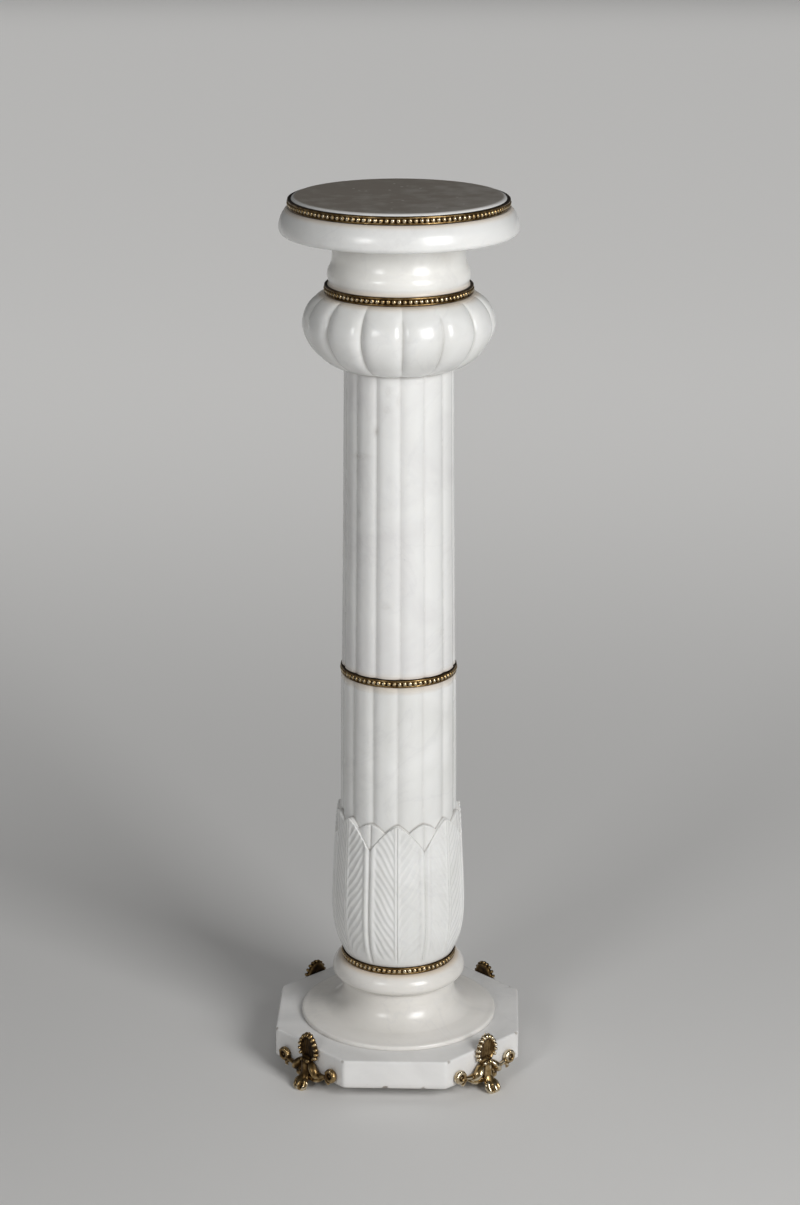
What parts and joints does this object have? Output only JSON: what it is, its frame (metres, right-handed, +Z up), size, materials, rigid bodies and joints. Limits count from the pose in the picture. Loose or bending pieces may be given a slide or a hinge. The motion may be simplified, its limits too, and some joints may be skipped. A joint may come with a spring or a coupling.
{
  "type": "marble pedestal column with gilt bronze mounts",
  "caption": "White marble pedestal column: reeded shaft rising from carved leaves, lobed cushion capital, round top, octagonal plinth, gilt bronze beading and scrolled feet.",
  "frame": {"origin": "centre of the column's axis on the floor", "axes": "+Z up along the column's axis, -Y towards the front, +X to the right seen from the front"},
  "size_m": [0.3, 0.3, 1.077],
  "materials": {
    "marble": "polished white marble with faint grey veins",
    "gilt_bronze": "cast gilt bronze, worn gold on the high places and dark brown in the recesses"
  },
  "bodies": {
    "root": {"plinth": "marble", "base_moulding": "marble", "leaf_drum": "marble", "upper_shaft": "marble", "capital_cushion": "marble", "neck": "marble", "top_slab": "marble", "ring_base": "gilt_bronze", "ring_middle": "gilt_bronze", "ring_neck": "gilt_bronze", "ring_top": "gilt_bronze", "foot_front_right": "gilt_bronze", "foot_back_right": "gilt_bronze", "foot_back_left": "gilt_bronze", "foot_front_left": "gilt_bronze"}
  },
  "joints": []
}
